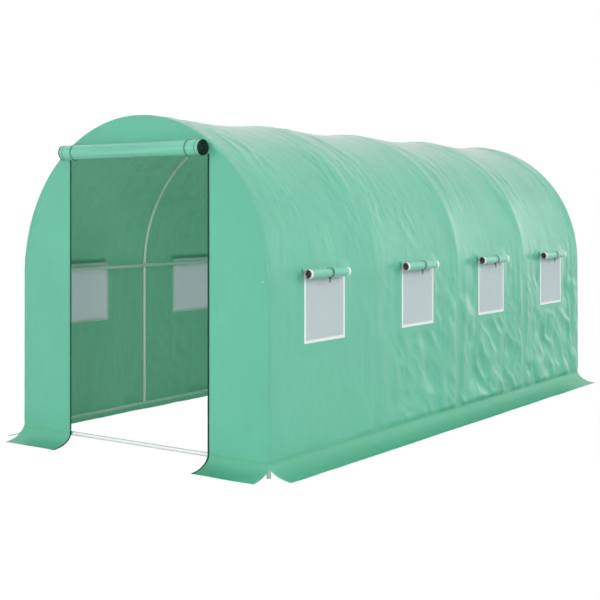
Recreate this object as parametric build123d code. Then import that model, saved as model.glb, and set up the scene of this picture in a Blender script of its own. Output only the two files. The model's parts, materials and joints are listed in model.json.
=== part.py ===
from build123d import *
import math
import os

# A walk-in polytunnel: bent tube hoops tied by long tubes, under a fitted cover with a
# rolled-up door, eight screened windows with rolled-up flaps, and ground skirts.
# Millimetres. Origin on the ground at the centre of the footprint: +X to the right seen
# from the door end, +Y towards the rear, +Z up.

# Cover
width = 2000.0            # over the cover, side to side
length = 4500.0           # over the two end panels
spring_z = 1067.0         # height at which the straight walls become the arch
cover_t = 3.0             # thickness of the cover
roof_dip = 22.0           # how far the roof drops between two hoops, at the crown
dip_spans = 4             # straight steps that make up the drop of one bay
seam_rise = 90.0          # height of the seam between wall and roof above the springing

# Frame
tube_d = 25.0
bend_side_count = 12      # flats round the tube along the bent arches
hoop_count = 5
base_rail_z = 79.5        # centre of the base rails above the ground
shoulder_z = 1089.0       # centre of the shoulder purlins above the ground
seat_gap = 0.3            # clearance where two round or soft pieces meet

# Skirts
skirt_top_z = 87.0
side_skirt_reach = 155.0
end_skirt_reach = 150.0

# Door
door_half_width = 570.0
door_header = 217.0       # from the crown down to the top of the doorway
zip_w = 12.0              # tape along each edge of the doorway
door_roll_r = 49.0
door_tie_inset = 105.0    # from the doorway's edge to the middle of a tie
tie_t = 2.0
door_tie_w = 8.0
door_tie_tail = 52.0      # length of the ends that hang under the roll
roll_step = 4.0           # the free edge of the cloth stands this far off the turn below

# Windows
window_w = 430.0          # over the trim
window_bottom_z = 717.0
window_top_z = 1123.0
window_corner_r = 28.0
window_shift = -20.0      # each window lies this far along Y from the middle of its bay
trim_w = 18.0
trim_proud = 1.0          # trim beyond each face of the cover
screen_t = 1.2
flap_roll_r = 30.0
flap_roll_short = 10.0    # a rolled flap is this much shorter than its window is wide
flap_roll_shift = -20.0   # and lies this far along Y from the window's middle
flap_roll_z = 1123.0
window_tie_w = 9.0
window_tie_tail = 30.0

# Worked out from the sizes above
arch_r = width / 2
end_y = length / 2
tube_r = tube_d / 2
hoop_r = arch_r - cover_t - seat_gap - tube_r
end_hoop_y = end_y - cover_t - seat_gap - tube_r
purlin_r = hoop_r - tube_d - seat_gap
hoop_ys = [-end_hoop_y + 2 * end_hoop_y * i / (hoop_count - 1) for i in range(hoop_count)]
seam_angle = math.asin(seam_rise / arch_r)
door_top_z = spring_z + arch_r - door_header
door_tie_x = door_half_width - door_tie_inset
door_roll_length = 2 * door_half_width
flap_roll_length = window_w - flap_roll_short
cover_edges = [-end_y + cover_t] + hoop_ys[1:-1] + [end_y - cover_t]


def tube(start, end):
    """A round tube between two points, its ends closed by what they meet."""
    run = Vector(*end) - Vector(*start)
    return extrude(Plane(origin=start, z_dir=run) * Circle(tube_r), run.length)


def hoop_arch(y):
    """The half circle of one hoop, from springing to springing."""
    section = Plane(origin=(hoop_r, y, spring_z)) * RegularPolygon(tube_r, bend_side_count)
    return revolve(section, axis=Axis((0, y, spring_z), (0, -1, 0)), revolution_arc=180)


def leg(x, y, is_corner):
    """A hoop's leg: at a corner down to the ground, elsewhere seated on the base rail."""
    if is_corner:
        return tube((x, y, 0), (x, y, spring_z))
    blank = tube((x, y, base_rail_z), (x, y, spring_z))
    rail_y = Plane(origin=(x, y - tube_d, base_rail_z), z_dir=(0, 1, 0))
    return blank - extrude(rail_y * Circle(tube_r + seat_gap), 2 * tube_d)


def arch_point(radius, angle, y):
    return (radius * math.cos(angle), y, spring_z + radius * math.sin(angle))


def roof_section(y, dip):
    """The roof's cut face across the tunnel, between the two wall seams."""
    outer = ThreePointArc(
        arch_point(arch_r, seam_angle, y),
        (0, y, spring_z + arch_r - dip),
        arch_point(arch_r, math.pi - seam_angle, y),
    )
    inner = ThreePointArc(
        arch_point(arch_r - cover_t, math.pi - seam_angle, y),
        (0, y, spring_z + arch_r - cover_t - dip),
        arch_point(arch_r - cover_t, seam_angle, y),
    )
    left_seam = Line(outer @ 1, inner @ 0)
    right_seam = Line(inner @ 1, outer @ 0)
    return Face(Wire([outer, left_seam, inner, right_seam]))


def roof_bay(y_start, y_end, hoop_start, hoop_end):
    """One bay of the roof: flat from its edge to the hoop, and a saddle between the hoops."""
    steps = [i / dip_spans for i in range(dip_spans + 1)]
    sections = [
        roof_section(hoop_start + (hoop_end - hoop_start) * step, roof_dip * (1 - (2 * step - 1) ** 2))
        for step in steps
    ]
    bay = loft(sections, ruled=True)
    if hoop_start > y_start:
        bay += extrude(roof_section(y_start, 0), hoop_start - y_start, dir=(0, 1, 0))
    if y_end > hoop_end:
        bay += extrude(roof_section(hoop_end, 0), y_end - hoop_end, dir=(0, 1, 0))
    return bay


def wall_shell(y_start, y_end, inside, outside):
    """The right wall as a sheet between two depths from the cover's outer face."""
    outer_r = arch_r + outside
    inner_r = arch_r - inside
    outer_line = Line((outer_r, y_start, skirt_top_z), (outer_r, y_start, spring_z))
    outer_arc = ThreePointArc(
        (outer_r, y_start, spring_z),
        arch_point(outer_r, seam_angle / 2, y_start),
        arch_point(outer_r, seam_angle, y_start),
    )
    inner_arc = ThreePointArc(
        arch_point(inner_r, seam_angle, y_start),
        arch_point(inner_r, seam_angle / 2, y_start),
        (inner_r, y_start, spring_z),
    )
    inner_line = Line((inner_r, y_start, spring_z), (inner_r, y_start, skirt_top_z))
    seam = Line(outer_arc @ 1, inner_arc @ 0)
    hem = Line(inner_line @ 1, outer_line @ 0)
    profile = Face(Wire([outer_line, outer_arc, seam, inner_arc, inner_line, hem]))
    return extrude(profile, y_end - y_start, dir=(0, 1, 0))


def window_prism(y_middle, inset):
    """A block with the window's outline, square below and rounded above."""
    half = window_w / 2 - inset
    bottom = window_bottom_z + inset
    top = window_top_z - inset
    reach = 2 * tube_d
    middle = Plane(origin=(arch_r - reach, y_middle, (bottom + top) / 2), x_dir=(0, 1, 0), z_dir=(1, 0, 0))
    outline = Rectangle(2 * half, top - bottom)
    outline = fillet(outline.vertices().sort_by(Axis.Y)[-2:], window_corner_r - inset)
    return extrude(middle * outline, 2 * reach)


def skirt_profile(reach):
    """Cut face of a skirt in its own plane: X outwards from the cover, Y up."""
    inner = EllipticalCenterArc((reach, skirt_top_z), reach + cover_t, skirt_top_z, 180, arc_size=90)
    outer = EllipticalCenterArc((reach, skirt_top_z), reach, skirt_top_z - cover_t, 180, arc_size=90)
    top = Line(outer @ 0, inner @ 0)
    edge = Line(inner @ 1, outer @ 1)
    return Face(Wire([outer, edge, inner, top]))


def side_skirt():
    """The right skirt."""
    plane = Plane(origin=(arch_r, cover_t - end_y, 0), x_dir=(1, 0, 0), z_dir=(0, -1, 0))
    return extrude(plane * skirt_profile(side_skirt_reach), length - 2 * cover_t, dir=(0, 1, 0))


def end_skirt(x_start, x_end):
    """A stretch of the front skirt."""
    plane = Plane(origin=(x_start, -end_y, 0), x_dir=(0, -1, 0), z_dir=(-1, 0, 0))
    return extrude(plane * skirt_profile(end_skirt_reach), x_end - x_start, dir=(1, 0, 0))


def end_outline():
    """The outline of an end panel, above the skirt, in its own plane."""
    low = Rectangle(width, spring_z - skirt_top_z, align=(Align.CENTER, Align.MIN))
    low = Pos(0, skirt_top_z) * low
    arch = Pos(0, spring_z) * Circle(arch_r)
    above = Pos(0, spring_z) * Rectangle(width, arch_r, align=(Align.CENTER, Align.MIN))
    return low + (arch & above)


def end_panel(y_outer_face, outline):
    """A flat end panel, cut to an outline given as X across and Y up."""
    plane = Plane(origin=(0, y_outer_face, 0), x_dir=(1, 0, 0), z_dir=(0, -1, 0))
    return extrude(plane * outline, cover_t, dir=(0, 1, 0))


def block(x_low, x_high, z_low, z_high):
    return Pos((x_low + x_high) / 2, (z_low + z_high) / 2) * Rectangle(x_high - x_low, z_high - z_low)


def roll(middle, along, radius, roll_length):
    """A flap rolled up tight, with the free edge of its cloth as a step along the top."""
    start = Vector(*middle) - Vector(*along) * (roll_length / 2)
    plane = Plane(origin=start, x_dir=(0, 0, 1), z_dir=along)
    first_half = ThreePointArc((radius, 0), (0, radius), (-radius, 0))
    inner_r = radius - roll_step / 2
    second_half = ThreePointArc((-radius, 0), (-roll_step / 2, -inner_r), (radius - roll_step, 0))
    edge = Line((radius - roll_step, 0), (radius, 0))
    return extrude(plane * Face(Wire([first_half, second_half, edge])), roll_length)


def tie(middle, along, radius, strap_w, tail):
    """A strap round a roll, with its knot's ends hanging below."""
    axis = Vector(*along)
    start = Vector(*middle) - axis * (strap_w / 2)
    plane = Plane(origin=start, z_dir=axis)
    loop_r = radius + seat_gap + tie_t
    loop = extrude(plane * (Circle(loop_r) - Circle(loop_r - tie_t)), strap_w)
    hang = tail + tie_t / 2
    low = Vector(*middle) + Vector(0, 0, -loop_r + tie_t / 2 - hang / 2)
    across = abs(axis.X) > 0.5
    ends = Box(strap_w if across else tie_t, tie_t if across else strap_w, hang)
    return loop + Pos(low.X, low.Y, low.Z) * ends


parts = {}

# Frame
for i, y in enumerate(hoop_ys):
    parts[f"hoop_arch_{i + 1}"] = hoop_arch(y)
for side, sign in (("left", -1), ("right", 1)):
    parts[f"legs_{side}"] = Compound(children=[
        leg(sign * hoop_r, y, i in (0, hoop_count - 1)) for i, y in enumerate(hoop_ys)
    ])
    rail_end = end_hoop_y - tube_r - seat_gap
    parts[f"base_rail_{side}"] = tube(
        (sign * hoop_r, -rail_end, base_rail_z), (sign * hoop_r, rail_end, base_rail_z))
    purlin_end = end_hoop_y + tube_r
    purlin_x = math.sqrt(purlin_r ** 2 - (shoulder_z - spring_z) ** 2)
    parts[f"shoulder_purlin_{side}"] = tube(
        (sign * purlin_x, -purlin_end, shoulder_z), (sign * purlin_x, purlin_end, shoulder_z))
ridge_z = spring_z + purlin_r
parts["ridge_purlin"] = tube((0, -purlin_end, ridge_z), (0, purlin_end, ridge_z))
bar_end = hoop_r - tube_r - seat_gap
parts["threshold_bar"] = tube(
    (-bar_end, -end_hoop_y, base_rail_z), (bar_end, -end_hoop_y, base_rail_z))
parts["rear_base_bar"] = tube(
    (-bar_end, end_hoop_y, base_rail_z), (bar_end, end_hoop_y, base_rail_z))

# Roof and walls, one bay at a time
screens = []
trims = []
flap_rolls = []
flap_ties = []
roll_wall_x = math.sqrt(arch_r ** 2 - max(flap_roll_z - spring_z, 0) ** 2)
roll_x = roll_wall_x + trim_proud + 2 * seat_gap + tie_t + flap_roll_r
for i in range(hoop_count - 1):
    y_start = cover_edges[i]
    y_end = cover_edges[i + 1]
    parts[f"roof_cover_{i + 1}"] = roof_bay(y_start, y_end, hoop_ys[i], hoop_ys[i + 1])
    bay_middle = (hoop_ys[i] + hoop_ys[i + 1]) / 2
    window_y = bay_middle + window_shift
    hole = window_prism(window_y, 0)
    light = window_prism(window_y, trim_w)
    right_wall = wall_shell(y_start, y_end, cover_t, 0) - hole
    parts[f"side_wall_right_{i + 1}"] = right_wall
    parts[f"side_wall_left_{i + 1}"] = mirror(right_wall, about=Plane.YZ)
    trims.append((wall_shell(y_start, y_end, cover_t + trim_proud, trim_proud) & hole) - light)
    screen_in = (cover_t + screen_t) / 2
    screens.append(wall_shell(y_start, y_end, screen_in, screen_t - screen_in) & light)
    flap_rolls.append(roll((roll_x, window_y + flap_roll_shift, flap_roll_z), (0, 1, 0),
                           flap_roll_r, flap_roll_length))
    flap_ties.append(tie((roll_x, window_y, flap_roll_z), (0, 1, 0), flap_roll_r,
                         window_tie_w, window_tie_tail))
for name, pieces in (("window_trims", trims), ("window_screens", screens),
                     ("window_flap_rolls", flap_rolls)):
    parts[f"{name}_right"] = Compound(children=pieces)
    parts[f"{name}_left"] = Compound(children=[mirror(piece, about=Plane.YZ) for piece in pieces])
parts["window_ties"] = Compound(
    children=flap_ties + [mirror(piece, about=Plane.YZ) for piece in flap_ties])

# End panels
whole_end = end_outline()
top_z = spring_z + arch_r
parts["front_panel_left"] = end_panel(
    -end_y, whole_end & block(-arch_r, -door_half_width, 0, top_z))
parts["front_panel_right"] = end_panel(
    -end_y, whole_end & block(door_half_width, arch_r, 0, top_z))
parts["front_panel_top"] = end_panel(
    -end_y, whole_end & block(-door_half_width, door_half_width, door_top_z, top_z))
parts["rear_panel"] = end_panel(end_y - cover_t, whole_end)

# Skirts
right_skirt = side_skirt()
front_right_skirt = end_skirt(door_half_width, arch_r)
parts["skirt_right"] = right_skirt
parts["skirt_left"] = mirror(right_skirt, about=Plane.YZ)
parts["front_skirts"] = Compound(
    children=[front_right_skirt, mirror(front_right_skirt, about=Plane.YZ)])
parts["rear_skirt"] = mirror(end_skirt(-arch_r, arch_r), about=Plane.XZ)

# Doorway: zip tapes down both edges and over the skirts, the rolled-up door and its ties
zip_tape = end_skirt(door_half_width - zip_w, door_half_width) + end_panel(
    -end_y, block(door_half_width - zip_w, door_half_width, skirt_top_z, door_top_z))
parts["door_zips"] = Compound(children=[zip_tape, mirror(zip_tape, about=Plane.YZ)])
door_roll_y = -end_y - 2 * seat_gap - tie_t - door_roll_r
parts["door_flap_roll"] = roll((0, door_roll_y, door_top_z), (1, 0, 0), door_roll_r, door_roll_length)
parts["door_ties"] = Compound(children=[
    tie((x, door_roll_y, door_top_z), (1, 0, 0), door_roll_r, door_tie_w, door_tie_tail)
    for x in (-door_tie_x, door_tie_x)
])

os.makedirs("parts", exist_ok=True)
for name, shape in parts.items():
    export_step(shape, f"parts/{name}.step")
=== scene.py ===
import bpy
import json
import math
import numpy as np
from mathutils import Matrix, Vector


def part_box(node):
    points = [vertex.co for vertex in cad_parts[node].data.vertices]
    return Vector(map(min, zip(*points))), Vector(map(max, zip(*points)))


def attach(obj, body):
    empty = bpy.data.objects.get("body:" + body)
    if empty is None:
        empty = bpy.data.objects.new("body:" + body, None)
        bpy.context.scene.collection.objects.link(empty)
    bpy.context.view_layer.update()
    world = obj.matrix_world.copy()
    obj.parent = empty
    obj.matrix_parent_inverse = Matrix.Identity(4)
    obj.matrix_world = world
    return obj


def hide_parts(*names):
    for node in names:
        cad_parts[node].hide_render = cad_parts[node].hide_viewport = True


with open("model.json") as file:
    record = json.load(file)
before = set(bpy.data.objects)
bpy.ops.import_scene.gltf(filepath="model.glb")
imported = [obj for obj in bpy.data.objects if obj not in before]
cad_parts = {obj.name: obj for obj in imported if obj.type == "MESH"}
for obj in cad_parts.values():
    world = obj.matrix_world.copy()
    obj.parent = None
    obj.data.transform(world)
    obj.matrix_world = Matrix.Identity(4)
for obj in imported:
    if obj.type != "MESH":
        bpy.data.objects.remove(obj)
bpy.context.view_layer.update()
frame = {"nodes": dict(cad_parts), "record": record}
nodes = frame["nodes"]


# Sizes, in metres, from the frame

def middle_y(name):
    """Where a node lies along the tunnel."""
    low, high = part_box(name)
    return (low.y + high.y) / 2


hoop_ys = [middle_y(f"hoop_arch_{i}") for i in range(1, 6)]
hoop_outer_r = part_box("hoop_arch_1")[1].x
tube_r = (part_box("ridge_purlin")[1].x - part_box("ridge_purlin")[0].x) / 2
spring_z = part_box("hoop_arch_1")[0].z                  # where the walls end and the arch begins
end_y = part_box("rear_panel")[1].y
hem_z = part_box("rear_panel")[0].z
side_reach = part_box("skirt_right")[1].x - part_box("front_panel_right")[1].x
end_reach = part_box("rear_skirt")[1].y - end_y
door_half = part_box("front_panel_right")[0].x
door_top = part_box("front_panel_top")[0].z
window_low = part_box("window_trims_right")[0].z
window_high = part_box("window_trims_right")[1].z
sides = (("left", -1), ("right", 1))

# Sizes, in metres, of the cloth itself
cloth_t = 0.0012
gap = 0.0006              # from the hoops to the cover, and from the cover to the skirts
cover_r = hoop_outer_r + cloth_t + gap
edge_r = 0.008            # of the cover's turn over the end tubes
wall_h = spring_z - hem_z
section_length = 2 * wall_h + math.pi * cover_r         # from hem to hem over the roof
purlin_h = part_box("shoulder_purlin_right")[0].z + tube_r - hem_z
purlin_room = spring_z + cover_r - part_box("ridge_purlin")[1].z - cloth_t - gap   # above a long tube
roof_dip = 0.022          # of the roof, half way between two hoops
wall_dish = 0.024         # of a wall, far from any hoop
tent_reach = 0.20         # how far from a hoop the wall is still drawn in
window_tuck = 0.006       # how far the cover's cut edge lies under a window's tape
end_flare = 0.193         # length of an end skirt's curve
cover_step = 0.0125       # grid step of the cover
panel_step = 0.018        # grid step of the end panels and skirts


def smooth_noise(x, y, seed):
    """Smooth noise from -1 to 1 over a plane."""
    table = np.random.RandomState(seed).uniform(-1, 1, (64, 64))
    xi, yi = np.floor(x).astype(int), np.floor(y).astype(int)
    fx, fy = x - xi, y - yi
    fx, fy = fx * fx * (3 - 2 * fx), fy * fy * (3 - 2 * fy)
    low = table[xi % 64, yi % 64] * (1 - fx) + table[(xi + 1) % 64, yi % 64] * fx
    high = table[xi % 64, (yi + 1) % 64] * (1 - fx) + table[(xi + 1) % 64, (yi + 1) % 64] * fx
    return low * (1 - fy) + high * fy


def creases(u, v, turn, reach, pitch, seed, sharp=2.0):
    """Long folds, 0 to 1: reach is how long one runs, pitch how far apart they lie, and turn
    their angle from the v direction, in degrees."""
    softness = 0.012
    a = math.radians(turn)
    along = v * math.cos(a) + u * math.sin(a)
    across = u * math.cos(a) - v * math.sin(a)
    waver = smooth_noise(along / (0.5 * reach) + 7, across / (2 * pitch), seed + 5)
    across = across + 0.35 * pitch * waver
    n = smooth_noise(across / pitch, along / reach, seed)
    return np.maximum(1 - np.sqrt(n * n + softness), 0) ** sharp


def ramp(x, low, high):
    """0 below low, 1 above high, and smooth between."""
    t = np.clip((x - low) / (high - low), 0, 1)
    return t * t * (3 - 2 * t)


def lines(start, end, step, fixed=()):
    """Grid lines from start to end about a step apart, and one at each fixed place."""
    even = np.linspace(start, end, max(2, round(abs(end - start) / step) + 1))
    kept = [x for x in even[1:-1] if all(abs(x - place) > 0.4 * step for place in fixed)]
    return np.array(sorted([start, end, *kept, *fixed]))


def drop_faces(mesh, dropped):
    """Deletes the faces that are marked in dropped."""
    bpy.ops.object.mode_set(mode="EDIT")
    bpy.ops.mesh.select_all(action="DESELECT")
    bpy.ops.object.mode_set(mode="OBJECT")
    mesh.polygons.foreach_set("select", dropped)
    bpy.ops.object.mode_set(mode="EDIT")
    bpy.ops.mesh.select_mode(type="FACE")
    bpy.ops.mesh.delete(type="FACE")
    bpy.ops.object.mode_set(mode="OBJECT")


def cloth_sheet(name, across, along, place, cut=None, thickness=cloth_t, upright=True,
                finishes=()):
    """A sheet of cloth from a grid. across and along are its cut coordinates in metres, place
    turns them into points, and cut says which faces are left out. The weave's own up runs along
    the sheet, or across it where upright is false."""
    bpy.ops.object.select_all(action="DESELECT")
    bpy.ops.mesh.primitive_grid_add(
        x_subdivisions=len(across) - 1, y_subdivisions=len(along) - 1, size=2)
    sheet = bpy.context.object
    sheet.name = name
    mesh = sheet.data
    co = np.zeros(len(mesh.vertices) * 3)
    mesh.vertices.foreach_get("co", co)
    co = co.reshape(-1, 3)
    column = np.rint((co[:, 0] + 1) / 2 * (len(across) - 1)).astype(int)
    row = np.rint((co[:, 1] + 1) / 2 * (len(along) - 1)).astype(int)
    u, v = across[column], along[row]
    mesh.vertices.foreach_set("co", np.stack(place(u, v), axis=1).ravel())
    corner = np.zeros(len(mesh.loops), int)
    mesh.loops.foreach_get("vertex_index", corner)
    weave = (u, v) if upright else (v, u)
    mesh.uv_layers[0].data.foreach_set("uv", np.stack([weave[0][corner], weave[1][corner]], axis=1).ravel())
    if cut:
        face_u = u[corner].reshape(-1, 4).mean(axis=1)
        face_v = v[corner].reshape(-1, 4).mean(axis=1)
        drop_faces(mesh, cut(face_u, face_v))
    for material in finishes:
        mesh.materials.append(material)
    give_thickness(sheet, thickness)
    bpy.ops.object.select_all(action="DESELECT")
    sheet.select_set(True)
    bpy.ops.object.shade_smooth_by_angle(angle=math.radians(50))
    return sheet


def give_thickness(sheet, thickness):
    """Solid cloth, grown inwards from its outer face."""
    solid = sheet.modifiers.new("thickness", "SOLIDIFY")
    solid.thickness = thickness
    solid.offset = -1
    solid.material_offset = 1 if len(sheet.data.materials) > 1 else 0
    bpy.context.view_layer.objects.active = sheet
    bpy.ops.object.modifier_apply(modifier=solid.name)


def add_piece(piece, slot, material, *replaced):
    """Gives a piece its finish, hangs it from the root, and hides the frame's parts that it stands for."""
    if material:
        piece.data.materials.clear()
        piece.data.materials.append(material)
    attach(piece, "root")
    if replaced:
        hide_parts(*replaced)
    return piece


# Materials

def srgb(r, g, b):
    """A colour given as 0 to 255 on screen, as the shader wants it."""
    def line(c):
        c = c / 255
        return c / 12.92 if c <= 0.04045 else ((c + 0.055) / 1.055) ** 2.4
    return (line(r), line(g), line(b), 1.0)


def new_material(name, roughness, metallic=0.0, specular=0.5):
    """A plain material, its node tree and its main shader."""
    material = bpy.data.materials.new(name)
    material.use_nodes = True
    shader = material.node_tree.nodes["Principled BSDF"]
    shader.inputs["Roughness"].default_value = roughness
    shader.inputs["Metallic"].default_value = metallic
    shader.inputs["Specular IOR Level"].default_value = specular
    return material, material.node_tree, shader


def node(tree, kind, **settings):
    """A new node, set up."""
    made = tree.nodes.new(kind)
    for key, value in settings.items():
        setattr(made, key, value)
    return made


def feed(tree, socket, value):
    """Sets an input, or links it where the value is another node's output."""
    if isinstance(value, bpy.types.NodeSocket):
        tree.links.new(value, socket)
    else:
        socket.default_value = value


def arithmetic(tree, operation, *values):
    """The result of one sum over numbers and outputs."""
    made = node(tree, "ShaderNodeMath", operation=operation)
    for socket, value in zip(made.inputs, values):
        feed(tree, socket, value)
    return made.outputs[0]


def blend(tree, amount, first, second):
    """A mix of two colours."""
    made = node(tree, "ShaderNodeMix", data_type="RGBA")
    feed(tree, made.inputs[0], amount)
    feed(tree, made.inputs[6], first)
    feed(tree, made.inputs[7], second)
    return made.outputs[2]


def scaled(colour, factor):
    """A colour made darker or lighter."""
    return [min(1, c * factor) for c in colour[:3]] + [1]


def noise(tree, vector, scale, detail, distortion=0.0):
    """Cloudy noise, 0 to 1."""
    made = node(tree, "ShaderNodeTexNoise")
    made.inputs["Scale"].default_value = scale
    made.inputs["Detail"].default_value = detail
    made.inputs["Distortion"].default_value = distortion
    tree.links.new(vector, made.inputs["Vector"])
    return made.outputs["Fac"]


def waves(tree, vector, direction, pitch, distortion):
    """Soft bands, one pitch apart."""
    made = node(tree, "ShaderNodeTexWave", wave_type="BANDS", bands_direction=direction)
    made.inputs["Scale"].default_value = 2 * math.pi / pitch / 20
    made.inputs["Distortion"].default_value = distortion
    tree.links.new(vector, made.inputs["Vector"])
    return made.outputs["Fac"]


def bumped(tree, height, strength, distance, normal=None):
    """The surface's direction, made uneven by a height."""
    made = node(tree, "ShaderNodeBump")
    made.inputs["Strength"].default_value = strength
    made.inputs["Distance"].default_value = distance
    tree.links.new(height, made.inputs["Height"])
    if normal is not None:
        tree.links.new(normal, made.inputs["Normal"])
    return made.outputs["Normal"]


def translucent(tree, colour):
    """Light that comes through from behind."""
    made = node(tree, "ShaderNodeBsdfTranslucent")
    feed(tree, made.inputs["Color"], colour)
    return made.outputs[0]


def mix_shaders(tree, amount, first, second):
    """All first where the amount is 0, and all second where it is 1."""
    made = node(tree, "ShaderNodeMixShader")
    feed(tree, made.inputs[0], amount)
    tree.links.new(first, made.inputs[1])
    tree.links.new(second, made.inputs[2])
    return made.outputs[0]


def show(tree, surface):
    """Makes this the material's surface."""
    tree.links.new(surface, tree.nodes["Material Output"].inputs["Surface"])


def thread_grid(tree, uv):
    """1 on the stronger threads, which run both ways through the film, and 0 between them."""
    thread_pitch = 0.008
    bands = []
    for axis in ("X", "Y"):
        sharp = node(tree, "ShaderNodeMapRange")
        sharp.inputs["From Min"].default_value = 0.8
        tree.links.new(waves(tree, uv, axis, thread_pitch, 0), sharp.inputs["Value"])
        bands.append(sharp.outputs["Result"])
    return arithmetic(tree, "MAXIMUM", *bands)


def long_streaks(tree, uv, run):
    """Uneven streaks along the cloth. run says how close they come, across and along."""
    lean = 8 if run[0] > run[1] else 0
    stretch = node(tree, "ShaderNodeMapping")
    stretch.inputs["Scale"].default_value = (*run, 1)
    stretch.inputs["Rotation"].default_value = (0, 0, math.radians(lean))
    tree.links.new(uv, stretch.inputs["Vector"])
    return noise(tree, stretch.outputs["Vector"], 1, 3, 0.8)


def film_layer(tree, cloth, normal, film_shine):
    """The film over the threads, which shines most where it is seen at a low angle."""
    least_shine = 0.03
    film = node(tree, "ShaderNodeBsdfAnisotropic")
    film.inputs["Roughness"].default_value = 0.30
    tree.links.new(normal, film.inputs["Normal"])
    slope = node(tree, "ShaderNodeLayerWeight")
    slope.inputs["Blend"].default_value = 0.5
    tree.links.new(normal, slope.inputs["Normal"])
    grazing = arithmetic(tree, "POWER", slope.outputs["Facing"], 5)
    shine = arithmetic(tree, "MULTIPLY_ADD", grazing, film_shine, least_shine)
    return mix_shaders(tree, shine, cloth, film.outputs[0])


def woven_cloth(name, colour, thread_colour, glow_colour, see_through, roughness=0.32, folds=0.0016,
                film_shine=0.85, run=(26, 4.5), glow_fold_shade=0.04, mottle_and_fold_shade=(0.90, 1.09), paints_fold_shade=False):
    """Reinforced film: a grid of stronger threads, an uneven tone that is cloudy, or painted fold shade and
    highlight in streaks where the flag for it is set, and fine folds along the cloth.
    Light from behind shows through it, made lighter and darker along the streaks as painted shade of the
    folds."""
    thread_shade, grain_height = 0.35, 0.35
    weave_strength, weave_depth = 0.35, 0.0006
    material, tree, shader = new_material(name, roughness, specular=0.4)
    uv = node(tree, "ShaderNodeUVMap").outputs["UV"]
    place = node(tree, "ShaderNodeTexCoord").outputs["Object"]
    threads = arithmetic(tree, "MULTIPLY", thread_grid(tree, uv), thread_shade)
    streaks = long_streaks(tree, uv, run)
    # For the rolls, the streaks darken and lighten the colour as painted shade and highlight of their folds.
    # Otherwise the cloudy noise is the cloth's own uneven tone.
    uneven = streaks if paints_fold_shade else noise(tree, place, 2.6, 4)
    shade = blend(tree, uneven, scaled(colour, mottle_and_fold_shade[0]), scaled(colour, mottle_and_fold_shade[1]))
    tree.links.new(blend(tree, threads, shade, thread_colour), shader.inputs["Base Color"])
    height = arithmetic(tree, "MULTIPLY_ADD", noise(tree, uv, 55, 5), grain_height, threads)
    folded = bumped(tree, streaks, 1, folds)
    normal = bumped(tree, height, weave_strength, weave_depth, folded)
    tree.links.new(normal, shader.inputs["Normal"])
    # Painted fold shade: the light from behind is made lighter and darker along the streaks.
    glow = blend(tree, streaks, scaled(glow_colour, 1 - glow_fold_shade), scaled(glow_colour, 1 + glow_fold_shade))
    cloth = mix_shaders(tree, see_through, shader.outputs[0], translucent(tree, glow))
    show(tree, film_layer(tree, cloth, normal, film_shine))
    return material


def webbing(name, colour, roughness=0.75, see_through=0.0):
    """Woven tape: ribs across it, in bump and in shade. A thin one lets some light through."""
    rib_pitch, rib_depth, rib_shade = 0.0016, 0.0004, 0.86
    material, tree, shader = new_material(name, roughness, specular=0.3)
    place = node(tree, "ShaderNodeTexCoord").outputs["Object"]
    rib = waves(tree, place, "DIAGONAL", rib_pitch, 0.6)
    tree.links.new(blend(tree, rib, scaled(colour, rib_shade), colour), shader.inputs["Base Color"])
    tree.links.new(bumped(tree, rib, 0.4, rib_depth), shader.inputs["Normal"])
    if see_through:
        show(tree, mix_shaders(tree, see_through, shader.outputs[0], translucent(tree, colour)))
    return material


def galvanised_steel(name):
    """Zinc-coated tube: bright, with faint spangle."""
    material, tree, shader = new_material(name, 0.26, metallic=0.35)
    place = node(tree, "ShaderNodeTexCoord").outputs["Object"]
    spangle = node(tree, "ShaderNodeTexVoronoi")
    spangle.inputs["Scale"].default_value = 160
    tree.links.new(place, spangle.inputs["Vector"])
    shade = blend(tree, spangle.outputs["Color"], srgb(240, 241, 240), srgb(253, 253, 252))
    tree.links.new(shade, shader.inputs["Base Color"])
    rough = node(tree, "ShaderNodeMapRange")
    rough.inputs["To Min"].default_value = 0.18
    rough.inputs["To Max"].default_value = 0.28
    tree.links.new(spangle.outputs["Distance"], rough.inputs["Value"])
    tree.links.new(rough.outputs["Result"], shader.inputs["Roughness"])
    return material


def netting(name):
    """Pale threads that let light through."""
    material, tree, shader = new_material(name, 0.6, specular=0.3)
    shader.inputs["Base Color"].default_value = srgb(232, 238, 241)
    glow = translucent(tree, srgb(232, 238, 242))
    show(tree, mix_shaders(tree, 0.45, shader.outputs[0], glow))
    return material


def white_floor(name):
    """Pale in the light that it throws back, and plain white to the camera."""
    material, tree, shader = new_material(name, 1.0, specular=0.0)
    shader.inputs["Base Color"].default_value = (0.86, 0.86, 0.86, 1)
    seen = node(tree, "ShaderNodeLightPath").outputs["Is Camera Ray"]
    white = node(tree, "ShaderNodeEmission")
    white.inputs["Strength"].default_value = 1.0
    show(tree, mix_shaders(tree, seen, shader.outputs[0], white.outputs[0]))
    return material


cover_cloth = woven_cloth(
    "cover_cloth", srgb(118, 216, 188), srgb(136, 226, 200), srgb(198, 240, 226), 0.44)
# On the inside face, the light from behind is strongly lighter and darker along the streaks. This is painted
# shade of its crumples.
cover_inside = woven_cloth(
    "cover_inside", srgb(134, 200, 174), srgb(152, 210, 188), srgb(186, 230, 212), 0.44, roughness=0.4,
    glow_fold_shade=0.18)
# Painted shade: a darker copy of the cover's green, for the shade that lies on the skirts down by the ground
skirt_cloth_painted_shade = woven_cloth(
    "skirt_cloth_painted_shade", srgb(108, 204, 172), srgb(126, 210, 182), srgb(196, 244, 224), 0.42, folds=0.0008,
    film_shine=0.25)
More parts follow.
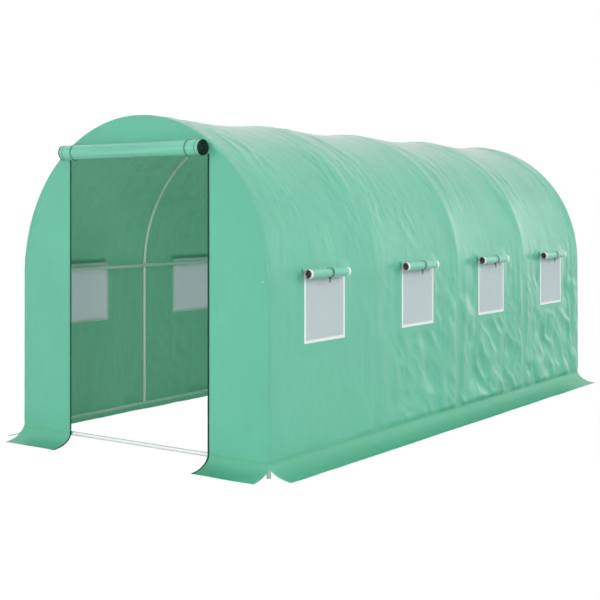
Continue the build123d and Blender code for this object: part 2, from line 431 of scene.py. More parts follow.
# Painted shade and highlight: strong dark and light streaks in the colour stand for the light on the roll's
# tight folds
roll_cloth = woven_cloth(
    "roll_cloth", srgb(116, 204, 176), srgb(144, 216, 192), srgb(150, 215, 190), 0.10, folds=0.0040,
    run=(0.8, 34), mottle_and_fold_shade=(0.55, 1.45), paints_fold_shade=True)
white_tape = webbing("white_tape", srgb(252, 253, 253), see_through=0.12)
# Painted shade: the white tape of a window flap's inner turns, darkened to grey-brown as the tight roll
# shades it
painted_shade_wound_tape = webbing("painted_shade_wound_tape", srgb(122, 114, 112))
dark_tape = webbing("dark_tape", srgb(38, 70, 58))
zip_plastic = webbing("zip_plastic", srgb(28, 52, 44), roughness=0.45)
strap_cloth = webbing("strap_cloth", srgb(48, 104, 84))
pale_strap = webbing("pale_strap", srgb(88, 156, 130))
tube_steel = galvanised_steel("tube_steel")
net = netting("netting")


# Tunnel cover

def section_point(s, inwards):
    """A point of the cover's cut across the tunnel: s runs from the left hem over the roof to
    the right hem, and inwards moves it towards the middle."""
    angle = np.clip((s - wall_h) / cover_r, 0, math.pi)
    nx, nz = -np.cos(angle), np.sin(angle)
    x = (cover_r - inwards) * nx
    z = spring_z + (cover_r - inwards) * nz
    z = z - np.maximum(wall_h - s, 0) - np.maximum(s - (section_length - wall_h), 0)
    return x, z


def window_ends(side):
    """Where each window of a side starts and ends along the tunnel, from its tape."""
    least_gap = 0.5
    ys = sorted({round(v.co.y, 4) for v in nodes[f"window_trims_{side}"].data.vertices})
    breaks = [i for i in range(1, len(ys)) if ys[i] - ys[i - 1] > least_gap]
    starts = [ys[0]] + [ys[i] for i in breaks]
    ends = [ys[i - 1] for i in breaks] + [ys[-1]]
    return list(zip(starts, ends))


window_boxes = [window_ends(side) for side, sign in sides]


def bay_fall(y):
    """0 over a hoop and 1 half way between two."""
    fall = np.zeros_like(y)
    for start, end in zip(hoop_ys, hoop_ys[1:]):
        f = (y - start) / (end - start)
        inside = (f > 0) & (f < 1)
        fall = np.where(inside, 1 - (2 * f - 1) ** 2, fall)
    return fall


def from_hoop(y):
    """Distance from the nearest hoop."""
    return np.min([np.abs(y - hoop_y) for hoop_y in hoop_ys], axis=0)


def wall_height(s):
    """Height above the hem on a wall, whichever side, as a length."""
    return np.minimum(s, section_length - s)


def roof_streaks(h, y, shift):
    """Fine folds that run along the hoops, from the crown down to the shoulder, mostly just
    behind a hoop."""
    near = 1 - ramp(from_hoop(y - 0.06), 0.10, 0.42)
    high = ramp(h, wall_h + 0.25, wall_h + 0.75)
    crown = ramp(h, wall_h + 0.75, wall_h + 1.3)
    patch = ramp(smooth_noise(y / 0.21 + 3, h / 0.55 + shift, 14), -0.5, 0.5)
    long = creases(y + shift, h, turn=9, reach=0.38, pitch=0.070, seed=11, sharp=2.2)
    short = creases(y + shift, h, turn=-16, reach=0.22, pitch=0.046, seed=12, sharp=2.2)
    depth = (0.0085 * long + 0.0050 * short) * (1 + 0.5 * near * crown)
    return high * (0.3 + 0.7 * near) * (0.35 + 0.65 * patch) * depth


def wall_drapes(h, y, shift):
    """Upright drapes and slanting crumples of the walls, stronger low down and to the rear."""
    rear = ramp(y, -1.75, 0.4)
    low = 1 - ramp(h, 0.50, 1.10)
    on_wall = 1 - ramp(h, wall_h - 0.25, wall_h + 0.45)
    upright = creases(y + shift, h, turn=3, reach=0.55, pitch=0.085, seed=31, sharp=2.0)
    falling = creases(y + shift, h, turn=-40, reach=0.24, pitch=0.125, seed=32, sharp=1.1)
    rising = creases(y + shift, h, turn=36, reach=0.20, pitch=0.115, seed=33, sharp=1.2)
    patch = ramp(smooth_noise(y / 0.27 + shift, h / 0.33, 34), -0.45, 0.35)
    crumple = np.maximum(falling, 0.8 * rising * patch)
    small = creases(y + shift, h, turn=-48, reach=0.16, pitch=0.070, seed=35, sharp=1.3)
    swell = smooth_noise(y / 0.13 + shift, h / 0.17, 36)
    drapes = 0.0060 * upright * (0.35 + 0.65 * rear)
    crumples = 0.0270 * crumple + 0.0070 * small + 0.0060 * swell
    return on_wall * (drapes + crumples * (0.10 + 0.90 * rear) * (0.22 + 0.78 * low))


def left_shoulder_crumples(s, y, shift):
    """Short crumples of the left shoulder, seen from inside through the doorway."""
    place = ramp(s, 1.05, 1.5) * (1 - ramp(s, 2.1, 2.5)) * ramp(y, -2.0, -1.5)
    first = creases(y + shift, s, turn=52, reach=0.16, pitch=0.065, seed=37, sharp=1.8)
    second = creases(y + shift, s, turn=-30, reach=0.20, pitch=0.080, seed=38, sharp=1.8)
    return place * (0.0150 * first + 0.0120 * second)


def front_crumples(h, y, shift):
    """Short creases on the shoulders of the first two bays, nearly along the hoops."""
    place = ramp(h, wall_h + 0.02, wall_h + 0.30) * (1 - ramp(h, wall_h + 0.85, wall_h + 1.20))
    place = place * (1 - ramp(y, -0.9, 0.3))
    patch = ramp(smooth_noise(y / 0.19 + shift, h / 0.24, 43), -0.5, 0.4)
    first = creases(y + shift, h, turn=-14, reach=0.13, pitch=0.060, seed=44, sharp=1.5)
    second = creases(y + shift, h, turn=24, reach=0.10, pitch=0.075, seed=45, sharp=1.5)
    return place * (0.3 + 0.7 * patch) * (0.0042 * first + 0.0034 * second)


def hem_puckers(h, y, shift):
    """The welded hem stands out as a soft ridge, and the cloth above it is gathered a little."""
    rear = ramp(y, -1.8, 1.0)
    ridge = 0.0016 * np.exp(-((h - 0.014) / 0.012) ** 2)
    gather = creases(y + shift, h, turn=10, reach=0.10, pitch=0.070, seed=41, sharp=1.6)
    gather = gather * ramp(h, 0.01, 0.04) * (1 - ramp(h, 0.06, 0.16))
    return ridge + 0.0030 * gather * (0.25 + 0.75 * rear)


def each_window(s):
    """For each window: which points lie on its side of the tunnel, and its two ends."""
    for boxes, on_side in zip(window_boxes, (s < section_length / 2, s > section_length / 2)):
        for start, end in boxes:
            yield on_side, start, end


def window_hold(s, y):
    """1 where the cover is held flat by a window's tape, and 0 away from it."""
    h = wall_height(s)
    held = np.zeros_like(y)
    for on_side, start, end in each_window(s):
        dy = np.maximum(np.maximum(start - y, y - end), 0)
        dz = np.maximum(np.maximum(window_low - hem_z - h, h - (window_high - hem_z)), 0)
        near = 1 - ramp(np.hypot(dy, dz), 0.004, 0.09)
        held = np.where(on_side, np.maximum(held, near), held)
    return held


def cover_dips(s, y, slack):
    """The dips between hoops: a dish in each wall, eased by the shoulder tube, and a saddle in
    the roof."""
    h = wall_height(s)
    angle = np.clip((s - wall_h) / cover_r, 0, math.pi)
    tent = 1 - np.exp(-np.maximum(from_hoop(y) - 0.006, 0) / tent_reach)
    at_purlin = np.exp(-((h - purlin_h) / 0.16) ** 2)
    on_wall = 1 - ramp(angle, 0.15, 1.0) * ramp(math.pi - angle, 0.15, 1.0)
    wall_dip = wall_dish * tent * ramp(h, 0.0, 0.25) * on_wall
    wall_dip = wall_dip * slack * (1 - 0.28 * at_purlin)
    return wall_dip + bay_fall(y) * roof_dip * np.sin(angle) ** 2


def cover_folds(s, y, held, over_tube):
    """How far the folds stand out. They fade at the hem, over the hoops and where it is held."""
    h = wall_height(s)
    shift = np.where(s < section_length / 2, 3.7, 0.0)
    swell = 0.0026 * smooth_noise(h / 0.38 + shift, y / 0.30 + shift, 21)
    folds = roof_streaks(h, y, shift) + wall_drapes(h, y, shift) + left_shoulder_crumples(s, y, shift)
    folds = folds + swell + front_crumples(h, y, shift)
    folds = folds * (1 - held) * (1 - 0.85 * over_tube) * ramp(h, 0.0, 0.04)
    return folds + hem_puckers(h, y, shift) * (1 - over_tube)


def cover_depth(s, y):
    """How far the cover lies inside its tightest line: the dips between hoops, less the folds.
    It is tighter on the walls and shoulders of the front bays, and stays clear of the tubes."""
    h = wall_height(s)
    taut = (1 - ramp(y, -1.9, 0.2)) * (1 - ramp(h, wall_h + 0.85, wall_h + 1.30))
    slack = 1 - 0.65 * taut
    held = window_hold(s, y)
    over_tube = 1 - ramp(from_hoop(y), 0.004, 0.09)
    base = 0.0040 * slack * (1 - over_tube) * (1 - held) * ramp(h, 0.0, 0.06)
    depth = cover_dips(s, y, slack) * (1 - held) + base - cover_folds(s, y, held, over_tube)
    to_purlin = np.minimum(np.abs(h - purlin_h), np.abs(h - section_length / 2))
    return np.minimum(depth, purlin_room + 0.25 * np.maximum(to_purlin - 0.02, 0))


def end_rounding(y):
    """The cover turns over the end tubes instead of meeting the end panels at a sharp edge."""
    d = np.clip(edge_r - (end_y - np.abs(y)), 0, edge_r)
    return edge_r - np.sqrt(edge_r ** 2 - d ** 2)


def cover_place(s, y):
    """Where a point of the cover's flat sheet lies."""
    x, z = section_point(s, cover_depth(s, y) + end_rounding(y))
    return x, y, z


def window_cut(s, y):
    """Faces of the cover that a window takes out, up to under its tape."""
    h = wall_height(s)
    on_height = (h > window_low - hem_z + window_tuck) & (h < window_high - hem_z - window_tuck)
    inside = np.zeros(len(s), bool)
    for on_side, start, end in each_window(s):
        inside |= on_side & on_height & (y > start + window_tuck) & (y < end - window_tuck)
    return inside


bay_edges = [-end_y] + hoop_ys[1:-1] + [end_y]


def cover_bay(i):
    """One bay of the cover: a sheet from hem to hem over its hoops, with two windows cut out."""
    edge_steps = (0, 0.08, 0.25, 0.5)
    bay_start, bay_end = bay_edges[i], bay_edges[i + 1]
    rows = [window_low - hem_z + window_tuck, window_high - hem_z - window_tuck]
    fixed = rows + [section_length - r for r in rows] + [wall_h, section_length - wall_h]
    across = lines(0, section_length, cover_step, fixed)
    start, end = window_boxes[1][i]
    along = lines(bay_start, bay_end, cover_step, (start + window_tuck, end - window_tuck))
    if i == 0:
        along = np.concatenate([[-end_y + edge_r * t for t in edge_steps], along[1:]])
    if i == 3:
        along = np.concatenate([along[:-1], [end_y - edge_r * t for t in reversed(edge_steps)]])
    bay = cloth_sheet(f"cover_bay_{i + 1}", across, along, cover_place, window_cut, upright=False,
                      finishes=(cover_cloth, cover_inside))
    add_piece(bay, "cover", None, f"roof_cover_{i + 1}",
              f"side_wall_left_{i + 1}", f"side_wall_right_{i + 1}")


for i in range(4):
    cover_bay(i)


# Skirts

skirt_rows = 19
corner_join = 0.0055      # the skirts stay joined at a corner down to where they reach this far out


def flare(w, reach):
    """A skirt's curve: w runs from 0 at the hem to 1 at its free edge. Gives how far out a point
    lies, and its height."""
    a = w * math.pi / 2
    return reach * (1 - np.cos(a)), hem_z - hem_z * np.sin(a)


def skirt_fall(along, w, seed):
    """Soft folds of a skirt, none at its seam."""
    folds = 0.55 * smooth_noise(along / 0.16, w * 0.8, seed)
    folds = folds + 0.45 * creases(along, w * 0.1, 20, 0.2, 0.09, seed + 1)
    return 0.008 * folds * ramp(w, 0.0, 0.5) * (1 - 0.65 * ramp(w, 0.7, 1.0))


def mitred(along, out, half):
    """Stretches the ends of a skirt to the corner as far as its neighbour is joined to it."""
    return along * (half + np.minimum(out, corner_join)) / half


def side_skirt(name, sign, replaced):
    """The skirt along one side, from the hem out to the ground."""
    def place(a, b):
        w, y = (a, b) if sign > 0 else (1 - a, b)
        out, z = flare(w, side_reach)
        lift = skirt_fall(y, w, 51 + sign)
        reach_out = out * (side_reach + 1 - cover_r) / side_reach
        x = sign * (cover_r + gap + reach_out - 0.2 * lift)
        return x, mitred(y, out, end_y), z + cloth_t + np.abs(lift)
    sheet = cloth_sheet(name, np.linspace(0, 1, skirt_rows), lines(-end_y, end_y, panel_step), place)
    add_piece(sheet, "skirt", skirt_cloth_painted_shade, replaced)


def end_skirt(name, side, x_start, x_end, replaced=()):
    """A skirt across an end, or beside the doorway. Only its outer corners are mitred."""
    def place(a, b):
        x = a if side < 0 else -a
        w = 1 - b
        out, z = flare(w, end_reach)
        lift = skirt_fall(a, w, 57 + side)
        wide = np.where(np.abs(x) > door_half + 0.1, mitred(x, out, cover_r), x)
        return wide, side * (end_y + gap + out - 0.2 * lift), z + cloth_t + np.abs(lift)
    sheet = cloth_sheet(name, lines(x_start, x_end, panel_step), np.linspace(0, 1, skirt_rows), place)
    add_piece(sheet, "skirt", skirt_cloth_painted_shade, *replaced)


side_skirt("skirt_cloth_right", 1, "skirt_right")
side_skirt("skirt_cloth_left", -1, "skirt_left")
end_skirt("skirt_cloth_front_right", -1, door_half, cover_r, ("front_skirts",))
end_skirt("skirt_cloth_front_left", -1, -cover_r, -door_half)
end_skirt("skirt_cloth_rear", 1, -cover_r, cover_r, ("rear_skirt",))


# End panels

panel_r = cover_r - edge_r


def arch_top(x):
    """Height of an end panel's arched edge."""
    return spring_z + np.sqrt(np.maximum(panel_r ** 2 - np.minimum(np.abs(x), panel_r) ** 2, 0))


def panel_fall(x, z, seed):
    """Soft slanting folds of an end panel."""
    slanting = creases(x, z, turn=32, reach=0.55, pitch=0.13, seed=seed)
    upright = creases(x, z, turn=14, reach=0.4, pitch=0.07, seed=seed + 1)
    swell = smooth_noise(x / 0.3, z / 0.4, seed + 2)
    return 0.0065 * (0.5 * slanting + 0.3 * upright) + 0.003 * swell


def end_panel(name, side, x_start, x_end, bottom, replaced, seed):
    """A flat panel of an end, up to the arch. Its folds fade at its edges and at the doorway."""
    def place(a, b):
        x = a if side < 0 else -a
        top = arch_top(x)
        z = bottom + b * (top - bottom)
        edge = ramp(top - z, 0.0, 0.06) * ramp(panel_r - np.abs(x), 0.0, 0.06)
        edge = edge * ramp(z - bottom, 0.0, 0.05)
        if side < 0:
            edge = edge * ramp(np.abs(np.abs(x) - door_half), 0.0, 0.03)
        return x, side * (end_y - panel_fall(x, z, seed) * edge), z
    height = spring_z + panel_r - bottom
    sheet = cloth_sheet(name, lines(x_start, x_end, panel_step), lines(0, 1, panel_step / height), place,
                        finishes=(cover_cloth, cover_inside))
    add_piece(sheet, "cover", None, replaced)
    for item in sheet.data.uv_layers[0].data:
        item.uv.y *= height


end_panel("front_cloth_right", -1, door_half, panel_r, hem_z, "front_panel_right", 61)
end_panel("front_cloth_left", -1, -panel_r, -door_half, hem_z, "front_panel_left", 64)
end_panel("front_cloth_top", -1, -door_half, door_half, door_top, "front_panel_top", 67)
end_panel("rear_cloth", 1, -panel_r, panel_r, hem_z, "rear_panel", 70)


# Frame

def tidy_piece(piece, name):
    """Puts a shaped piece's place in its mesh, faces out, smooth but for its real edges."""
    piece.name = name
    bpy.context.view_layer.objects.active = piece
    bpy.ops.object.transform_apply(location=True, rotation=True, scale=True)
    bpy.ops.object.mode_set(mode="EDIT")
    bpy.ops.mesh.select_all(action="SELECT")
    bpy.ops.mesh.remove_doubles(threshold=0.00001)
    bpy.ops.mesh.normals_make_consistent(inside=False)
    bpy.ops.object.mode_set(mode="OBJECT")
    bpy.ops.object.shade_smooth_by_angle(angle=math.radians(40))
    return piece


def join_pieces(pieces, name):
    """Makes one piece of several."""
    bpy.ops.object.select_all(action="DESELECT")
    for piece in pieces:
        piece.select_set(True)
    bpy.context.view_layer.objects.active = pieces[0]
    if len(pieces) > 1:
        bpy.ops.object.join()
    pieces[0].name = name
    return pieces[0]


def smooth_hoop(number, y):
    """A bent tube arch with a truly round section."""
    bpy.ops.object.select_all(action="DESELECT")
    bpy.ops.mesh.primitive_circle_add(
        vertices=20, radius=tube_r, location=(hoop_outer_r - tube_r, y, spring_z))
    hoop = bpy.context.object
    bpy.ops.object.mode_set(mode="EDIT")
    bpy.ops.mesh.select_all(action="SELECT")
    bpy.ops.mesh.spin(steps=64, angle=math.pi, center=(0, y, spring_z), axis=(0, 1, 0))
    bpy.ops.mesh.select_all(action="SELECT")
    bpy.ops.mesh.fill_holes(sides=0)
    bpy.ops.object.mode_set(mode="OBJECT")
    tidy_piece(hoop, f"bent_hoop_{number}")
    add_piece(hoop, "tube", tube_steel, f"hoop_arch_{number}")


def bolt(place, outwards):
    """A small hexagon bolt head on its washer, standing on a tube and facing outwards."""
    washer_r, washer_t = 0.0075, 0.0014
    head_r, head_t = 0.0055, 0.0042
    turn = Vector(outwards).to_track_quat("Z", "Y").to_euler()
    made = []
    for corners, radius, height, foot in ((20, washer_r, washer_t, 0.0), (6, head_r, head_t, washer_t)):
        bpy.ops.object.select_all(action="DESELECT")
        bpy.ops.mesh.primitive_cylinder_add(vertices=corners, radius=radius, depth=height)
        part = bpy.context.object
        bpy.ops.object.mode_set(mode="EDIT")
        bpy.ops.mesh.select_all(action="SELECT")
        bpy.ops.mesh.bevel(offset=0.0004, segments=1, affect="EDGES")
        bpy.ops.object.mode_set(mode="OBJECT")
        part.rotation_euler = turn
        part.location = Vector(place) + Vector(outwards).normalized() * (foot + height / 2)
        made.append(tidy_piece(part, "bolt_part"))
    return join_pieces(made, "bolt")


def bolt_row(label, tube_name, facing):
    """The bolts where a long tube crosses the hoops, all facing one way and let in a little."""
    stand = tube_r - 0.0006
    low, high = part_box(tube_name)
    x, z = (low.x + high.x) / 2 + facing[0] * stand, (low.z + high.z) / 2 + facing[2] * stand
    bolts = [bolt((x, y, z), facing) for y in hoop_ys]
    add_piece(join_pieces(bolts, f"purlin_bolts_{label}"), "tube", tube_steel)


def finish_straight_tubes():
    """Gives the tubes that are shown as the frame has them the same steel as the hoops."""
    slots = {s["node"]: s["material_slot"] for s in frame["record"]["subparts"]}
    for name, cad in nodes.items():
        if slots[name] == "tube":
            cad.data.materials.clear()
            cad.data.materials.append(tube_steel)


for number, y in enumerate(hoop_ys):
    smooth_hoop(number + 1, y)
bolt_row("ridge", "ridge_purlin", (0, 0, -1))
bolt_row("left", "shoulder_purlin_left", (1, 0, 0))
bolt_row("right", "shoulder_purlin_right", (-1, 0, 0))
finish_straight_tubes()


# Window tapes and doorway zips

def window_tape(name, sign, start, end, replaced):
    """The welded white tape round a window: square below, rounded above, on both faces."""
    tape_w, corner_r = 0.018, 0.028
    proud, depth = 0.0009, 0.0045
    bpy.ops.object.select_all(action="DESELECT")
    bpy.ops.mesh.primitive_plane_add(size=1)
    tape = bpy.context.object
    for vertex in tape.data.vertices:
        a, b = vertex.co.x, vertex.co.y
        vertex.co = (sign, (start + end) / 2 + sign * a * (end - start),
                     (window_low + window_high) / 2 + b * (window_high - window_low))
    bpy.ops.object.mode_set(mode="EDIT")
    bpy.ops.mesh.select_mode(type="VERT")
    bpy.ops.mesh.select_all(action="DESELECT")
    bpy.ops.object.mode_set(mode="OBJECT")
    for vertex in tape.data.vertices:
        vertex.select = vertex.co.z > window_high - 0.001
    bpy.ops.object.mode_set(mode="EDIT")
    bpy.ops.mesh.bevel(offset=corner_r, segments=8, affect="VERTICES")
    bpy.ops.mesh.select_all(action="SELECT")
    bpy.ops.mesh.inset(thickness=tape_w)
    bpy.ops.mesh.delete(type="FACE")
    bpy.ops.mesh.select_all(action="SELECT")
    bpy.ops.mesh.bisect(plane_co=(0, 0, spring_z), plane_no=(0, 0, 1))
    bpy.ops.object.mode_set(mode="OBJECT")
    for vertex in tape.data.vertices:
        rise = max(vertex.co.z - spring_z, 0)
        vertex.co.x = sign * (math.sqrt(cover_r ** 2 - rise ** 2) + proud)
    give_thickness(tape, depth)
    soften = tape.modifiers.new("edge", "BEVEL")
    soften.width = 0.0004
    soften.segments = 1
    bpy.ops.object.modifier_apply(modifier=soften.name)
    tape.name = name
    add_piece(tape, "trim", white_tape, *replaced)


for (side, sign), boxes in zip(sides, window_boxes):
    for i, (start, end) in enumerate(boxes):
        window_tape(f"window_tape_{side}_{i + 1}", sign, start, end,
                    (f"window_trims_{side}",) if i == 0 else ())


def zip_path(sign, inwards, l, proud):
    """A point of a doorway's edge: l runs down from the door top and over the skirt."""
    upright = door_top - hem_z
    w = np.clip((l - upright) / end_flare, 0, 1)
    out, z = flare(w, end_reach)
    z = np.where(l < upright, door_top - l, z)
    out = np.where(l < upright, 0, out)
    lean = w * math.pi / 2
    y = -(end_y + out + proud * np.cos(lean))
    return sign * (door_half - inwards), y, z + proud * np.sin(lean) + cloth_t


def repeat_along(piece, name, count, step):
    """Repeats a piece in a row, each a step from the last."""
    row = piece.modifiers.new(name, "ARRAY")
    row.use_relative_offset = False
    row.use_constant_offset = True
    row.constant_offset_displace = step
    row.count = count
    bpy.ops.object.modifier_apply(modifier=row.name)


def door_zip(name, sign, replaced):
    """A zip tape down one edge of the doorway from under the roll, and its teeth."""
    tape_w, tape_t, tape_proud = 0.012, 0.0012, 0.0014
    tooth_w, tooth_h, tooth_t, tooth_pitch = 0.0046, 0.0022, 0.0018, 0.004
    teeth_in, teeth_proud = 0.0095, 0.0020
    length = door_top - hem_z + end_flare
    start = door_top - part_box("door_flap_roll")[0].z - 0.012

    def place(u, l):
        return zip_path(sign, tape_w - u if sign > 0 else u, length - l, tape_proud)
    tape = cloth_sheet(name, np.linspace(0, tape_w, 4), lines(0, length - start, 0.02), place,
                       thickness=tape_t)
    add_piece(tape, "zip", dark_tape, *replaced)
    bpy.ops.object.select_all(action="DESELECT")
    bpy.ops.mesh.primitive_cube_add(size=1)
    teeth = bpy.context.object
    for vertex in teeth.data.vertices:
        a, b, c = vertex.co
        vertex.co = (a * tooth_w, b * tooth_h + start + 0.003, c * tooth_t)
    repeat_along(teeth, "teeth", int((length - start) / tooth_pitch) - 1, (0, tooth_pitch, 0))
    for vertex in teeth.data.vertices:
        a, b, c = vertex.co
        x, y, z = zip_path(sign, teeth_in - sign * a, np.array(b), teeth_proud + c)
        vertex.co = (float(x), float(y), float(z))
    tidy_piece(teeth, f"{name}_teeth")
    add_piece(teeth, "zip", zip_plastic)


door_zip("door_zip_right", 1, ("door_zips",))
door_zip("door_zip_left", -1, ())


# Rolled flaps

low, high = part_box("door_flap_roll")
door_roll_r = (high.z - low.z) / 2
door_roll_place = (0, high.y - door_roll_r, (low.z + high.z) / 2)
door_roll_half = high.x
low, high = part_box("window_flap_rolls_right")
roll_r = (high.z - low.z) / 2
roll_x, roll_z = low.x + roll_r, (low.z + high.z) / 2
roll_length = (high.y - low.y) - (hoop_ys[3] - hoop_ys[0])
first_roll_y = low.y + roll_length / 2
up = Vector((0, 0, 1))


def rolled_flap(name, centre, axis, outward, outer_r, eye_r, cloth_length, width, bands, hang, seed,
                replaced):
    """A flap rolled up outwards from its lower edge: it hangs from its seam behind the roll,
    goes round underneath and winds inwards to its eye. bands says how far from the ends its
    bands have their edges."""
    axis, outward = Vector(axis), Vector(outward)
    pitch = math.pi * (outer_r ** 2 - eye_r ** 2) / cloth_length
    lean = 0.004

    def place(u, l):
        wound, hung = np.maximum(l, 0), np.minimum(l, 0)
        r = np.sqrt(np.maximum(outer_r ** 2 - pitch * wound / math.pi, eye_r ** 2))
        a = 2 * math.pi * (outer_r - r) / pitch
        uneven = 0.0016 * smooth_noise(u / 0.45, l / 0.014, seed)
        uneven = uneven + 0.0012 * smooth_noise(u / 0.2, l / 0.06, seed + 1)
        r = r + uneven * ramp(l, 0.0, 0.03)
        points = []
        for k in range(3):
            ring = -outward[k] * np.cos(a) * r - up[k] * np.sin(a) * r
            strip = outward[k] * lean * (hung / hang) - up[k] * hung
            points.append(centre[k] + axis[k] * u + ring + strip)
        return points
    edges = [s * (width / 2 - b) for b in bands for s in (-1, 1)]
    sheet = cloth_sheet(name, lines(-width / 2, width / 2, 0.022, edges),
                        lines(-hang, cloth_length, 0.0055, [0]), place, thickness=0.0009)
    add_piece(sheet, "flap", roll_cloth, *replaced)
    return sheet


def edge_bands(sheet, half, bands, outer_turn, material, wound_material):
    """Gives the bands near a roll's ends another finish: one on the outermost turn and one on
    the turns inside it."""
    sheet.data.materials.append(material)
    sheet.data.materials.append(wound_material)
    cut = sheet.data.uv_layers[0].data
    for face in sheet.data.polygons:
        u = np.mean([abs(cut[k].uv.x) for k in face.loop_indices])
        wound = np.mean([cut[k].uv.y for k in face.loop_indices])
        if wound > 0 and any(half - b > u > half - a for a, b in bands):
            face.material_index = 1 if wound < outer_turn else 2


def rolled_door():
    """The door, rolled up over the doorway, with dark ends and a dark line set in from each."""
    door_length = 1.80
    edge, line_start, line_end = 0.009, 0.030, 0.034
    roll = rolled_flap(
        "door_roll_cloth", door_roll_place, (1, 0, 0), (0, -1, 0), outer_r=door_roll_r - 0.0005,
        eye_r=0.008, cloth_length=door_length, width=2 * door_roll_half,
        bands=(edge, line_start, line_end), hang=0.05, seed=81, replaced=("door_flap_roll",))
    edge_bands(roll, door_roll_half, [(edge, -1), (line_end, line_start)], door_length, dark_tape, dark_tape)


def rolled_window(side, sign, i):
    """A window's flap, rolled up over its window, with white tape at its ends on the outer turn. On the
    turns inside it, that tape is painted grey-brown shade.
    """
    band = 0.022
    centre = (sign * roll_x, first_roll_y + hoop_ys[i] - hoop_ys[0], roll_z)
    roll = rolled_flap(
        f"window_roll_{side}_{i + 1}", centre, (0, sign, 0), (sign, 0, 0), outer_r=roll_r - 0.0005,
        eye_r=0.006, cloth_length=0.41, width=roll_length, bands=(band,), hang=0.03, seed=90 + i,
        replaced=(f"window_flap_rolls_{side}",) if i == 0 else ())
    outer_turn = 2 * math.pi * roll_r - 0.004
    # The tape on the inner turns gets the painted shade.
    edge_bands(roll, roll_length / 2, [(band, -1)], outer_turn, white_tape, painted_shade_wound_tape)


rolled_door()
for side, sign in sides:
    for i in range(4):
        rolled_window(side, sign, i)


# Ties

def strap_tie(name, centre, along, radius, width, tail, material, replaced, seed):
    """A strap round a roll, tied underneath in a small knot with two hanging ends."""
    centre, along = Vector(centre), Vector(along)
    across = along.cross(up)
    loop_t, end_t = 0.001, 0.0008

    def ring(u, a):
        r = radius + 0.0012 + 0.0005 * smooth_noise(a * 1.3, u * 0, seed)
        return [centre[k] + along[k] * (u + 0.0012 * np.sin(a)) + across[k] * r * np.cos(a)
                + up[k] * r * np.sin(a) for k in range(3)]
    strap = np.linspace(-width / 2, width / 2, 4)
    round_roll = np.linspace(-math.pi / 2, 1.5 * math.pi, 49)
    made = [cloth_sheet(f"{name}_loop", strap, round_roll, ring, thickness=loop_t)]
    for turn in (-1, 1):
        def hang(u, l):
            drop = radius + 0.002 + l * tail
            sway = turn * (0.002 + 0.006 * l) + 0.002 * np.sin(3.5 * l + seed)
            lean = 0.003 * np.sin(2.5 * l + turn)
            return [centre[k] + along[k] * (u * (1 - 0.25 * np.sin(2 * l)) + sway) + across[k] * lean
                    - up[k] * drop for k in range(3)]
        made.append(cloth_sheet(f"{name}_end", strap * 0.9, np.linspace(0, 1, 13), hang, thickness=end_t))
    bpy.ops.object.select_all(action="DESELECT")
    bpy.ops.mesh.primitive_torus_add(
        major_segments=20, minor_segments=8, major_radius=0.0036, minor_radius=0.0022)
    knot = bpy.context.object
    for vertex in knot.data.vertices:
        a, b, c = vertex.co
        vertex.co = centre + along * (a * 1.25) + across * (c * 1.1) - up * (radius + 0.0052 - b * 0.85)
    made.append(tidy_piece(knot, f"{name}_knot"))
    add_piece(join_pieces(made, name), "tie", material, *replaced)


def door_ties():
    """Two pale straps round the rolled door."""
    width, tail = 0.008, 0.026
    low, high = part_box("door_ties")
    reach = (high.x - low.x) / 2 - width / 2
    for side, sign in sides:
        centre = (sign * reach, door_roll_place[1], door_roll_place[2])
        strap_tie(f"door_tie_{side}", centre, (1, 0, 0), door_roll_r, width, tail, pale_strap,
                  ("door_ties",) if sign < 0 else (), 3 + sign)


def window_ties():
    """A dark strap round each rolled window flap."""
    width, tail = 0.009, 0.029
    first_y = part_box("window_ties")[0].y + width / 2
    for side, sign in sides:
        for i in range(4):
            centre = (sign * roll_x, first_y + hoop_ys[i] - hoop_ys[0], roll_z)
            strap_tie(f"window_tie_{side}_{i + 1}", centre, (0, 1, 0), roll_r, width, tail, strap_cloth,
                      ("window_ties",) if (i, sign) == (0, 1) else (), 6 + i + 2 * sign)


door_ties()
window_ties()


# Window screens

def net_threads(start, end, low, high, x, pitch, width, upright):
    """One set of a net's threads, side by side: one is drawn and the rest repeat it."""
    bpy.ops.object.select_all(action="DESELECT")
    bpy.ops.mesh.primitive_plane_add(size=1, calc_uvs=True)
    strip = bpy.context.object
    mid, span = ((low + high) / 2, high - low) if upright else ((start + end) / 2, end - start)
    first = (start if upright else low) + pitch / 2
    count = int(((end - start) if upright else (high - low)) / pitch)
    for vertex in strip.data.vertices:
        a, b = vertex.co.x, vertex.co.y
        if upright:
            vertex.co = (x, first + a * width, mid + b * span)
        else:
            vertex.co = (x, mid + a * span, first + b * width)
    repeat_along(strip, "threads", count, (0, pitch, 0) if upright else (0, 0, pitch))
    return strip


def window_screen(name, x, start, end, low, high):
    """Fine netting of flat threads both ways, the level ones just outside the upright ones."""
    pitch, width, thread_t, weave_depth = 0.0021, 0.0014, 0.00015, 0.0004
    upright = net_threads(start, end, low, high, x, pitch, width, True)
    level = net_threads(start, end, low, high, x + weave_depth, pitch, width, False)
    screen = join_pieces([upright, level], name)
    give_thickness(screen, thread_t)
    return screen


def side_screens(side, sign, boxes):
    """The nets of one side's windows. Their edges lie under the tapes."""
    net_x, edge, tuck = 0.9984, 0.016, 0.002
    low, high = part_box(f"window_screens_{side}")
    for i, (start, end) in enumerate(boxes):
        screen = window_screen(f"window_net_{side}_{i + 1}", sign * net_x, start + edge, end - edge,
                               low.z - tuck, high.z + tuck)
        add_piece(screen, "screen", net, *((f"window_screens_{side}",) if i == 0 else ()))


for (side, sign), boxes in zip(sides, window_boxes):
    side_screens(side, sign, boxes)


# Camera, floor and light

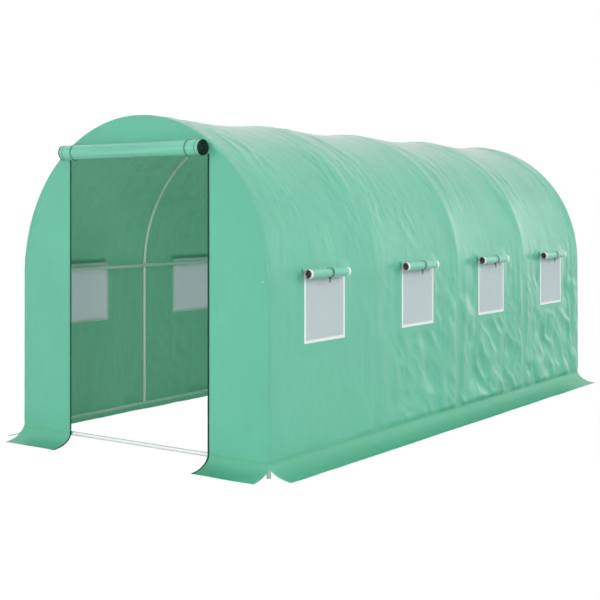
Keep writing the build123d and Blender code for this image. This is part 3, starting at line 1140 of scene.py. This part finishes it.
def set_camera():
    """A level camera, to the right of the front. Its view is shifted, not tilted."""
    data = bpy.data.cameras.new("camera")
    camera = bpy.data.objects.new("camera", data)
    bpy.context.collection.objects.link(camera)
    camera.location = (4.8198, -7.3721, 1.4896)
    camera.rotation_euler = (math.radians(90), 0, math.radians(35.1916))
    data.lens = 69.24
    data.sensor_width = 36
    data.shift_y = -0.1494
    bpy.context.scene.camera = camera


def set_floor():
    """A wide floor just under the ground line."""
    bpy.ops.mesh.primitive_plane_add(size=60, location=(0, 0, -0.0005))
    floor = bpy.context.object
    floor.name = "floor"
    floor.data.materials.append(white_floor("floor"))


def set_world():
    """Plain white where it is seen, directly, in a gloss or through cloth, and softer as light."""
    world = bpy.data.worlds.new("world")
    bpy.context.scene.world = world
    world.use_nodes = True
    tree = world.node_tree
    soft = tree.nodes["Background"]
    soft.inputs["Color"].default_value = (1, 1, 1, 1)
    soft.inputs["Strength"].default_value = 0.6
    plain = node(tree, "ShaderNodeBackground")
    plain.inputs["Color"].default_value = (1, 1, 1, 1)
    plain.inputs["Strength"].default_value = 1.0
    path = node(tree, "ShaderNodeLightPath")
    seen = arithmetic(tree, "MAXIMUM", path.outputs["Is Camera Ray"], path.outputs["Is Glossy Ray"])
    seen = arithmetic(tree, "MAXIMUM", seen, path.outputs["Is Transmission Ray"])
    shown = mix_shaders(tree, seen, soft.outputs[0], plain.outputs[0])
    tree.links.new(shown, tree.nodes["World Output"].inputs["Surface"])


def soft_sun(name, aim, spread, strength, shine):
    """A broad lamp far away. aim points from the object to the lamp, and shine says whether
    glossy surfaces mirror it."""
    data = bpy.data.lights.new(name, "SUN")
    data.angle = math.radians(spread)
    data.energy = strength
    made = bpy.data.objects.new(name, data)
    bpy.context.collection.objects.link(made)
    made.rotation_euler = Vector(aim).to_track_quat("Z", "Y").to_euler()
    made.visible_glossy = shine


bpy.ops.object.select_all(action="DESELECT")
set_camera()
set_floor()
set_world()
soft_sun("key", (0.70, 0.62, 0.44), spread=20, strength=1.26, shine=False)
soft_sun("front", (-0.15, -1.0, 0.35), spread=40, strength=1.08, shine=False)
soft_sun("sheen", (0.22, 0.97, 0.03), spread=36, strength=0.22, shine=True)
soft_sun("doorway", (0.52, -0.80, 0.22), spread=12, strength=0.36, shine=False)

bpy.context.scene.view_settings.view_transform = "Standard"
